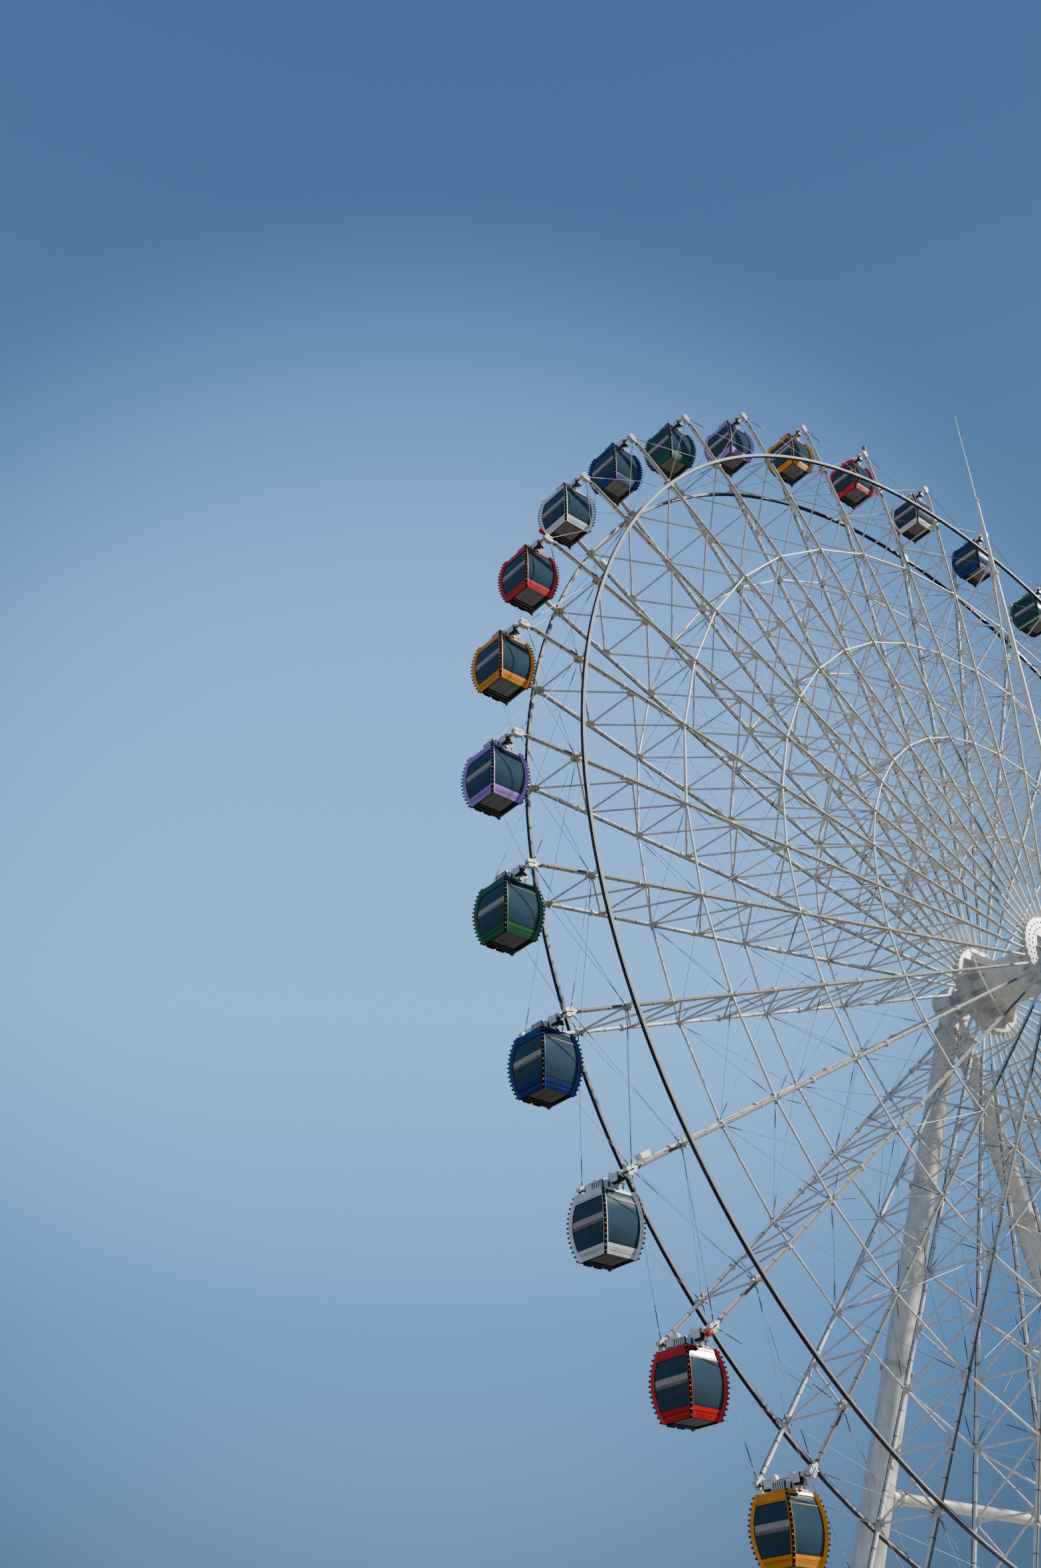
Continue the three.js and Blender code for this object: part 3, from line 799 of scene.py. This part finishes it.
def build_supports():
    for end, side in (("front", -1), ("rear", 1)):
        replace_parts(build_head(end + "_head_housing", side), end + "_bearing_head")
        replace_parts(build_tie(end + "_tie_tube", side), end + "_tie_beam")
        for hand_name, hand in (("left", -1), ("right", 1)):
            name = end + "_" + hand_name
            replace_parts(build_leg(name + "_leg_tube", hand, side), name + "_leg")
            build_foot_bolts(name + "_foot_bolts", hand, side)
            dress_node(name + "_foot", galvanised)
    build_mast()
    dress_node("axle", machined_steel)


def dress_node(name, finish):
    node = frame["nodes"][name]
    for slot in node.material_slots:
        slot.material = finish


# Cabins, about their own pivots

Z_TOP = -0.222
Z_FLOOR = -1.278
Z_MIDDLE = -0.727
WALL_X = (0.386, 0.272)
WALL_Y = (0.421, 0.4)
POST_HALF = 0.031
POST_OUT = 0.026
STRIP = 0.046
BAND = 0.157
HEADER_LONG = 0.15
HEADER_SHORT = 0.046
TRANSOM = 0.14
(PAINT, GLASS, DARKGLASS, WHITEBOX, DARK, UNDER, SEAT, CUSHION, SHAFT, BLACKPLATE, BOXGREY,
 COPPER_AND_LIT_EDGE, FIRST_BULB) = range(13)
BULBS_PER_POST = 14
BULB = [(-0.0135, 0.01125), (0.0015, 0.015), (0.012, 0.009)]


def wall(half, z):
    return half[0] - half[1] * (z - Z_MIDDLE) ** 2


class Face:
    """One bulging side of a cabin, seen from outside."""

    def __init__(self, normal):
        self.normal = Vector(normal)
        self.across = UP.cross(self.normal)
        self.depth, self.width = (WALL_X, WALL_Y) if self.normal.x else (WALL_Y, WALL_X)

    def point(self, s, z, off):
        return self.normal * (wall(self.depth, z) + off) + self.across * s + UP * z

    def panel(self, shape, low, high, edges, off, thick, slot, steps=1):
        """Curved panel between two heights.

        Its left and right edges are each (share of the half width, shift), so a share of 1 or -1
        follows a corner of the cabin and a share of 0 stays upright.
        """
        rows = []
        for i in range(steps + 1):
            z = low + (high - low) * i / steps
            s0, s1 = (share * wall(self.width, z) + shift for share, shift in edges)
            rows.append([
                self.point(s0, z, off - thick), self.point(s1, z, off - thick),
                self.point(s1, z, off), self.point(s0, z, off),
            ])
        shape.loops(rows, slot)


def inset(distance):
    """Both edges of a panel, this far in from the corners."""
    return (-1, distance), (1, -distance)


FACES = {
    "front": Face((0, -1, 0)), "right": Face((1, 0, 0)),
    "rear": Face((0, 1, 0)), "left": Face((-1, 0, 0)),
}


def cabin_face(shape, name):
    face = FACES[name]
    long_header = name in ("left", "right")
    band_top = Z_FLOOR + BAND
    head_low = Z_TOP - (HEADER_LONG if long_header else HEADER_SHORT)
    inner = inset(STRIP)
    pane = inset(STRIP - 0.006)

    def panel(*sizes):
        face.panel(shape, *sizes)

    for edges in (((-1, 0), (-1, STRIP)), ((1, -STRIP), (1, 0))):
        panel(Z_FLOOR, Z_TOP, edges, 0.0, 0.022, PAINT, 14)
    panel(head_low, Z_TOP, inner, 0.0, 0.022, PAINT, 3)
    panel(head_low - 0.009, head_low, inner, -0.003, 0.014, DARK)
    if long_header:
        panel(head_low + 0.024, head_low + 0.028, inner, 0.0012, 0.003, DARK)
    for low, high in ((0.0, 0.077), (0.083, 0.098), (0.104, BAND)):
        panel(Z_FLOOR + low, Z_FLOOR + high, inner, 0.0, 0.016, PAINT, 2)
    panel(Z_FLOOR + 0.01, band_top - 0.01, inner, -0.009, 0.01, DARK, 4)
    # Thin light line along the groove in the band: a painted highlight, standing in for the glint on the
    # groove's edge.
    panel(Z_FLOOR + 0.0605, Z_FLOOR + 0.0635, inset(STRIP + 0.022), 0.0025, 0.006, SHAFT)
    glass_top = head_low
    if not long_header:
        glass_top = head_low - TRANSOM
        panel(glass_top, head_low, pane, -0.01, 0.008, DARKGLASS, 3)
        panel(glass_top - 0.017, glass_top + 0.011, inner, -0.006, 0.012, DARK)
        # Thin line on the transom bar, only from s = -0.12 to the right corner: painted highlight of the
        # bar's lit edge, left out where the bar is in shade.
        panel(glass_top + 0.001, glass_top + 0.006, ((0, -0.12), inner[1]), -0.003, 0.006, COPPER_AND_LIT_EDGE)
        # Dark strip of glass at the foot of the pane: painted shade of the cabin's inside seen through it.
        panel(band_top, band_top + 0.045, pane, -0.008, 0.008, DARKGLASS, 2)
    panel(band_top - 0.004, glass_top, pane, -0.01, 0.008, GLASS, 14)
    seal = STRIP + 0.007
    for edges in (((-1, STRIP), (-1, seal)), ((1, -seal), (1, -STRIP))):
        panel(band_top, head_low, edges, -0.005, 0.013, DARK, 12)
    panel(band_top, band_top + 0.008, inner, -0.005, 0.013, DARK)
    if name == "rear":
        cabin_doors(shape, face, band_top, head_low)


def cabin_doors(shape, face, low, high):
    """Two sliding leaves with dark frames and pull handles."""
    for centre, half in ((-0.022, 0.012), (0.022, 0.012), (-0.205, 0.013), (0.205, 0.013)):
        face.panel(shape, low, high, ((0, centre - half), (0, centre + half)), -0.004, 0.014, DARK, 12)
    for s in (-0.022, 0.022):
        start, end = face.point(s, -0.86, 0.018), face.point(s, -0.7, 0.018)
        shape.tube(start, end, 0.007, 8, SHAFT)
        for point in (start, end):
            shape.stub(point, face.normal * -0.03, 0.006, 6, SHAFT)


def cabin_post(shape, sx, sy):
    """Bowed corner post: a channel with a row of small lamps."""
    steps = 16
    out_way = Vector((sx, sy, 0)).normalized()
    side_way = UP.cross(out_way)
    lip = POST_HALF - 0.008
    section = [
        (-POST_HALF, -0.03), (POST_HALF, -0.03),
        (POST_HALF, POST_OUT - 0.006), (POST_HALF - 0.003, POST_OUT),
        (lip, POST_OUT), (lip, 0.01), (-lip, 0.01), (-lip, POST_OUT),
        (0.003 - POST_HALF, POST_OUT), (-POST_HALF, POST_OUT - 0.006),
    ]
    # The channel's inside faces take the dark finish: painted shade in the recess of the body-coloured
    # post.
    kinds = [PAINT] * 4 + [DARK] * 3 + [PAINT] * 3

    def corner(z):
        return Vector((sx * wall(WALL_X, z), sy * wall(WALL_Y, z), z))

    rows = []
    for i in range(steps + 1):
        z = Z_FLOOR - 0.004 + (Z_TOP + 0.02 - Z_FLOOR) * i / steps
        rows.append([corner(z) + side_way * a + out_way * b for a, b in section])
    shape.loops(rows, kinds)
    for i in range(BULBS_PER_POST):
        z = Z_TOP - 0.032 + (Z_FLOOR - Z_TOP + 0.052) * i / (BULBS_PER_POST - 1)
        slope = 2 * WALL_X[1] * (z - Z_MIDDLE)
        normal = (out_way + UP * slope).normalized()
        shape.tube(corner(z) + out_way * 0.009, corner(z) + out_way * (POST_OUT + 0.022), 0.0175, 6, DARK)
        lamp = corner(z) + out_way * (POST_OUT + 0.025)
        shape.lathe(lamp, normal, BULB, 5, FIRST_BULB + i % len(bulb_lenses))


def cut_corners(x, y_low, y_high, z, cut):
    """Outline at one height, with cut corners."""
    return [Vector((a, b, z)) for a, b in (
        (-x + cut, y_low), (x - cut, y_low), (x, y_low + cut), (x, y_high - cut),
        (x - cut, y_high), (-x + cut, y_high), (-x, y_high - cut), (-x, y_low + cut),
    )]


def cabin_roof(shape):
    """Painted rim and the pale tray inside it, as (growth, height) steps."""
    for steps, slot in (
        (((0, -0.01), (0.004, 0.006), (-0.012, 0.02)), PAINT),
        (((-0.016, 0.016), (-0.05, 0.03), (-0.13, 0.034)), WHITEBOX),
    ):
        rows = []
        for growth, height in steps:
            x, y = wall(WALL_X, Z_TOP) + growth, wall(WALL_Y, Z_TOP) + growth
            rows.append(cut_corners(x, -y, y, Z_TOP + height, 0.02))
        shape.loops(rows, slot)


AIR_LOW = Vector((-0.25, -0.25, Z_TOP + 0.024))
AIR_HIGH = Vector((-0.1, 0.024, -0.064))
LOUVRES = 6


def cooling_box(shape):
    """Louvred box on the roof, with slots along its long sides."""
    low, high = AIR_LOW, AIR_HIGH
    shape.block(low + Vector((0.012, 0.01, 0)), high - Vector((0.012, 0.01, 0.006)), BLACKPLATE)
    shape.block((low.x - 0.003, low.y - 0.003, high.z - 0.01), high + Vector((0.003, 0.003, 0)), BOXGREY)
    shape.block(low, (high.x, high.y, low.z + 0.008), BOXGREY)
    for x in (low.x, high.x - 0.014):
        for i in range(LOUVRES + 1):
            y = low.y + (high.y - low.y) / LOUVRES * i
            y_low, y_high = max(low.y, y - 0.01), min(high.y, y + 0.01)
            shape.block((x, y_low, low.z), (x + 0.014, y_high, high.z - 0.008), BOXGREY)
    for y in (low.y, high.y - 0.012):
        shape.block((low.x, y, low.z), (high.x, y + 0.012, high.z - 0.008), BOXGREY)
    slot_low = (high.x - 0.036, low.y - 0.002, low.z + 0.02)
    shape.block(slot_low, (high.x - 0.014, low.y + 0.004, high.z - 0.024), DARK)


def bearing_hanger(shape, side):
    """Column, bearing box on the shaft, its black bracket and its neck to the roof."""
    def span(a, b):
        return sorted((side * a, side * b))

    def column(steps, slot):
        rows = [cut_corners(x, *span(0.13 + trim, 0.25 - trim), z, cut) for x, trim, z, cut in steps]
        shape.loops(rows, slot)

    def block(x, y, z, slot):
        low, high = span(*y)
        shape.block((-x, low, z[0]), (x, high, z[1]), slot)

    column((
        (0.045, 0, Z_TOP + 0.02, 0.01), (0.045, 0, 0.052, 0.01), (0.043, 0.003, 0.062, 0.012),
    ), BOXGREY)
    column((
        (0.044, 0.001, 0.06, 0.012), (0.041, 0.006, 0.078, 0.016),
        (0.03, 0.022, 0.094, 0.016), (0.014, 0.042, 0.1, 0.008),
    ), WHITEBOX)
    block(0.066, (0.252, 0.386), (-0.096, 0.044), BOXGREY)
    block(0.069, (0.25, 0.262), (-0.1, 0.047), BOXGREY)
    block(0.052, (0.248, 0.4), (-0.122, -0.096), BLACKPLATE)
    block(0.058, (0.386, 0.4), (-0.11, 0.05), BLACKPLATE)
    block(0.046, (0.4, 0.44), (-0.14, -0.02), BLACKPLATE)
    block(0.062, (0.396, 0.448), (-0.152, -0.134), BLACKPLATE)
    for x in (-0.048, 0.048):
        for z in (-0.08, 0.028):
            shape.stub(Vector((x, side * 0.386, z)), AXLE * (side * 0.022), 0.007, 6, SHAFT)
    cap = [(0.392, 0.05), (0.4, 0.055), (0.446, 0.055), (0.456, 0.046), (0.457, 0.03)]
    shape.lathe(UP * 0.006, AXLE * side, cap, 18, WHITEBOX)
    neck = Vector((0, side * 0.305, Z_TOP + 0.016))
    steps = [
        (0, 0.046), (0.012, 0.046), (0.014, 0.024), (0.03, 0.024), (0.032, 0.034), (0.04, 0.034),
        (0.042, 0.026), (0.058, 0.026), (0.06, 0.036), (0.072, 0.036), (0.074, 0.02),
    ]
    shape.lathe(neck, UP, steps, 14, SHAFT)
    block(0.075, (0.262, 0.312), (Z_TOP + 0.01, Z_TOP + 0.022), WHITEBOX)


BALL = [(-0.034, 0.008), (-0.027, 0.022), (-0.012, 0.033), (0.012, 0.033), (0.027, 0.022), (0.034, 0.008)]
BEND = ((0.01, 0, 0.02), (0.06, 0.004, 0.03), (0.1, 0.006, 0.022), (0.118, 0.006, -0.006))


def roof_brackets(shape):
    """Ball on its neck and a small box, each with a bent pipe, and two more short pipes."""
    base = Z_TOP + 0.018

    def at(x, y, z):
        return Vector((x, y, base + z))

    def pipe(x, y, way):
        points = [at(x - way * a, y + b, c) for a, b, c in BEND]
        for start, end in zip(points, points[1:]):
            shape.tube(start, end, 0.014, 8, BOXGREY)

    shape.tube(at(0.164, -0.256, -0.004), at(0.174, -0.26, 0.112), 0.014, 8, COPPER_AND_LIT_EDGE)
    shape.lathe(at(0.176, -0.26, 0.134), UP, BALL, 12, WHITEBOX)
    shape.tube(at(0.162, -0.256, 0.016), at(0.224, -0.266, 0.01), 0.023, 10, WHITEBOX)
    pipe(0.172, -0.256, 1)
    shape.block(at(-0.268, 0.24, 0), at(-0.202, 0.278, 0.044), WHITEBOX)
    shape.block(at(-0.236, 0.248, 0), at(-0.21, 0.276, 0.066), WHITEBOX)
    pipe(-0.232, 0.262, -1)
    for side in BOTH:
        start, end = at(side * 0.25, side * 0.272, 0.006), at(side * 0.15, side * 0.276, 0.002)
        shape.tube(start, end, 0.021, 10, WHITEBOX, end_radius=0.014)


def cabin_underside(shape):
    """Floor pan with its lighter panel, grooves, rails and steps."""
    x, y = wall(WALL_X, Z_FLOOR), wall(WALL_Y, Z_FLOOR)
    z = Z_FLOOR
    shape.block((-x + 0.004, -y + 0.004, z - 0.01), (x - 0.004, y - 0.004, z + 0.012), DARK)
    shape.block((-0.288, -0.288, z - 0.014), (0.17, 0.1, z - 0.004), UNDER)
    for line in (-0.16, 0.02):
        shape.block((line - 0.003, -0.286, z - 0.0155), (line + 0.003, 0.098, z - 0.01), DARK)
    shape.block((0.186, -0.28, z - 0.02), (0.204, 0.28, z - 0.006), DARK)
    shape.block((0.25, -0.28, z - 0.024), (0.276, 0.28, z - 0.006), DARK)
    shape.block((0.256, -0.27, z - 0.027), (0.268, 0.27, z - 0.02), UNDER)
    for rail in (0.135, 0.205):
        shape.block((-0.284, rail - 0.018, z - 0.026), (0.28, rail + 0.018, z - 0.008), DARK)
        shape.block((-0.278, rail - 0.006, z - 0.03), (0.274, rail + 0.006, z - 0.02), UNDER)
    for centre in (-0.175, 0.03):
        low = Vector((centre - 0.075, 0.262, z - 0.03))
        shape.block(low, low + Vector((0.15, 0.04, 0.018)), DARK)
        shape.block(low + Vector((0.01, 0, 0.018)), low + Vector((0.14, 0.034, 0.03)), DARK)
    for spot_y in (-0.2, 0.04):
        for spot_x in (-0.22, 0.1):
            shape.stub(Vector((spot_x, spot_y, z - 0.013)), UP * -0.005, 0.008, 8, SHAFT)
    corner = Vector((x - 0.03, y - 0.028, z - 0.006))
    shape.lathe(corner, -UP, [(0, 0.036), (0.014, 0.03), (0.028, 0.014), (0.04, 0.006)], 10, DARK)


def cabin_inside(shape):
    """Two benches with padded grey backs, seen through the glass."""
    pad = [
        (-0.04, -0.65), (-0.016, -0.644), (-0.008, -0.652), (-0.008, -0.69), (-0.008, -0.742),
        (-0.008, -0.79), (-0.008, -0.818), (-0.018, -0.83), (-0.044, -0.822), (-0.062, -0.74),
    ]
    # The pad's front face turns darker downwards, from the grey seat finish to the underside grey and then
    # the dark seat finish: painted shade under its rounded top.
    kinds = [SEAT] * 4 + [UNDER] + [CUSHION] * 3 + [SEAT] * 2
    ends = (
        (-0.36, 0.8), (-0.346, 1.0), (-0.006, 1.0), (0.0, 0.95),
        (0.006, 1.0), (0.346, 1.0), (0.36, 0.8),
    )
    for side in BOTH:
        rows = []
        for y, swell in ends:
            row = []
            for off, z in pad:
                height = -0.74 + (z + 0.74) * swell
                row.append(Vector((side * (wall(WALL_X, height) + off), y, height)))
            rows.append(row)
        shape.loops(rows[::-side], kinds)
        near, far = sorted((side * 0.318, side * 0.09))
        shape.block((near, -0.34, -0.985), (far, 0.34, -0.925), CUSHION)
        for y in (-0.22, 0.0, 0.22):
            leg = Vector((side * 0.14, y, 0))
            shape.tube(leg + UP * (Z_FLOOR + 0.01), leg - UP * 0.98, 0.012, 8, SHAFT)
        for y in (-0.26, 0.26):
            rail = Vector((side * 0.29, y, 0))
            shape.tube(rail - UP * 0.98, rail - UP * 0.3, 0.01, 8, SHAFT)
    shape.tube((0, 0, Z_FLOOR + 0.01), (0, 0, Z_TOP), 0.014, 10, SHAFT)


def shaft(shape):
    """Round shaft between the two spoke tips, with collars."""
    reach = 0.5175
    shape.pin(Vector(), AXLE * reach, 0.024, 12, SHAFT)
    for side in BOTH:
        shape.tube((0, side * 0.458, 0), (0, side * 0.474, 0), 0.038, 14, SHAFT)
        shape.tube((0, side * 0.5, 0), (0, side * reach, 0), 0.034, 14, BLACKPLATE)


def build_cabins():
    """One shell for each colour, and a linked copy of it at each pivot."""
    base = Shape()
    for name in FACES:
        cabin_face(base, name)
    for sx in BOTH:
        for sy in BOTH:
            cabin_post(base, sx, sy)
    cabin_roof(base)
    cooling_box(base)
    for side in BOTH:
        bearing_hanger(base, side)
    for part in (roof_brackets, cabin_underside, cabin_inside, shaft):
        part(base)
    colours = list(CABIN_COLOURS)
    meshes = {}
    for colour in colours:
        finishes = [
            cabin_paints[colour], glass_tint, glass_dark, bright_paint, underside_dark,
            underside_grey, seat_grey, seat_dark, machined_steel, black_paint, box_grey,
            copper_and_lit_edge, *bulb_lenses,
        ]
        meshes[colour] = base.mesh("cabin_shell_" + colour, finishes)
    for index in range(SPOKES):
        number = "%02d" % (index + 1)
        colour = colours[index % len(colours)]
        pivot = joint_places["cabin_%s_swing" % number]
        piece = place_mesh("cabin_shell_" + number, meshes[colour], pivot)
        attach(piece, "cabin_" + number)
        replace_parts(piece, "cabin_" + number)


# Stage, light and camera

TOWARDS_SUN = Vector((0.7, -0.4, 0.6)).normalized()
TOWARDS_FILL = Vector((-0.85, -0.35, 0.1)).normalized()
TOWARDS_HAZE = Vector((0.508, 0.722, 0.471)).normalized()
SUN_STRENGTH = 11.8
FILL_STRENGTH = 0.6
HAZE_EDGE, HAZE_CORE = 0.882, 0.99
CLEAR_STRENGTH, HAZE_STRENGTH = 0.385, 1.0
FLOOR_X = 9.5
FLOOR_Y = 6.5
SKY_STEPS = (
    (0.00, (0.23, 0.238, 0.246)),
    (0.46, (0.3, 0.315, 0.33)),
    (0.52, (0.26, 0.41, 0.62)),
    (0.63, (0.185, 0.42, 0.86)),
    (0.72, (0.29, 0.65, 1.19)),
    (0.82, (0.262, 0.57, 1.14)),
    (0.9, (0.21, 0.44, 1.02)),
    (1.00, (0.16, 0.34, 0.8)),
)


def build_backdrop():
    """Tone by height, brightest in a soft haze low on one side."""
    world = bpy.data.worlds.new("pale_backdrop")
    bpy.context.scene.world = world
    world.use_nodes = True
    tree = world.node_tree
    place = add_node(tree, "TexCoord", {}).outputs["Generated"]
    parts = add_node(tree, "SeparateXYZ", {"Vector": place})
    height = add_node(tree, "MapRange", {"Value": parts.outputs["Z"], "From Min": -1.0, "From Max": 1.0})
    tones = add_node(tree, "ValToRGB", {"Fac": height.outputs["Result"]})
    set_tones(tones.color_ramp, SKY_STEPS)
    nearness = add_node(tree, "VectorMath", {0: place, 1: TOWARDS_HAZE})
    nearness.operation = "DOT_PRODUCT"
    haze = add_node(tree, "MapRange", {
        "Value": nearness.outputs["Value"], "From Min": HAZE_EDGE, "From Max": HAZE_CORE,
        "To Min": CLEAR_STRENGTH, "To Max": HAZE_STRENGTH,
    })
    haze.interpolation_type = "SMOOTHSTEP"
    fill(tree, tree.nodes["Background"], {
        "Color": tones.outputs["Color"], "Strength": haze.outputs["Result"],
    })


def build_stage():
    floor = Shape()
    floor.block((-FLOOR_X, -FLOOR_Y, -0.3), (FLOOR_X, FLOOR_Y, -0.002), 0)
    floor_paint = material("floor_pale", (0.42, 0.42, 0.41), (0.37, 0.37, 0.36), 0.85, grain=0.4, bump=0.05)
    floor.piece("floor", [floor_paint])
    build_backdrop()

    build_light("key_light", TOWARDS_SUN, SUN_STRENGTH, 2, (1.0, 0.955, 0.86))
    build_light("fill_light", TOWARDS_FILL, FILL_STRENGTH, 80, (0.9, 0.95, 1.0))


def build_light(name, towards, energy, spread_degrees, colour):
    sun = bpy.data.lights.new(name, "SUN")
    sun.energy = energy
    sun.angle = radians(spread_degrees)
    sun.color = colour
    lamp = bpy.data.objects.new(name, sun)
    bpy.context.scene.collection.objects.link(lamp)
    lamp.rotation_euler = towards.to_track_quat("Z", "Y").to_euler()


CAMERA_FROM_HUB = Vector((-2.0928, -1.2772, -1.1878)) * RIM_RADIUS
AZIMUTH, ELEVATION, ROLL = 0.6804, 0.6053, -0.02
FOCAL_LENGTH = 35.47


def build_camera():
    forward = Vector((sin(AZIMUTH) * cos(ELEVATION), cos(AZIMUTH) * cos(ELEVATION), sin(ELEVATION)))
    right = Vector((cos(AZIMUTH), -sin(AZIMUTH), 0))
    up = right.cross(forward)
    right_rolled = right * cos(ROLL) + up * sin(ROLL)
    up_rolled = up * cos(ROLL) - right * sin(ROLL)
    turn = Matrix((right_rolled, up_rolled, -forward)).transposed()
    lens = bpy.data.cameras.new("camera")
    lens.lens = FOCAL_LENGTH
    lens.sensor_width = 36.0
    lens.clip_end = 2000.0
    camera = bpy.data.objects.new("camera", lens)
    bpy.context.scene.collection.objects.link(camera)
    camera.matrix_world = Matrix.Translation(HUB + CAMERA_FROM_HUB) @ turn.to_4x4()
    bpy.context.scene.camera = camera


build_camera()
build_sectors()
build_rim("front_rim_tube", -1, "front_rim")
build_rim("rear_rim_tube", 1, "rear_rim")
build_hub()
build_supports()
build_cabins()
build_stage()
